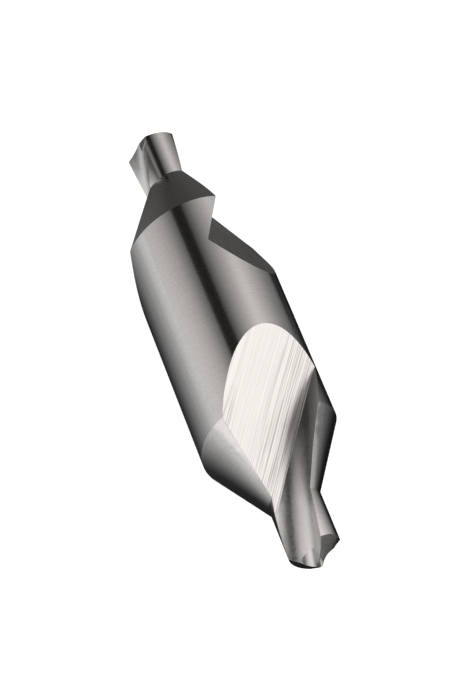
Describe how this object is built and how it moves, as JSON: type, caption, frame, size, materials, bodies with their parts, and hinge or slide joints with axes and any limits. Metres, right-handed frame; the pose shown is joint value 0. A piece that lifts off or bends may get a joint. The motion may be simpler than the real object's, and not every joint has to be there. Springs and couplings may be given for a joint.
{
  "type": "centre drill",
  "caption": "Double-ended centre drill with a 60 degree countersink, a fluted pilot and ramped right-hand flutes at each end of a plain round body",
  "frame": {"origin": "middle of the round body, on the drill's axis", "axes": "+X along the axis towards one end; +Z through the outer corner of a lip of that end; +Y completes the frame"},
  "size_m": [0.08, 0.02, 0.02],
  "materials": {
    "tool_steel": "bright, finely ground all over, with straight grinding marks on the flute ramps"
  },
  "bodies": {
    "root": {"centre_drill": "tool_steel"}
  },
  "joints": []
}
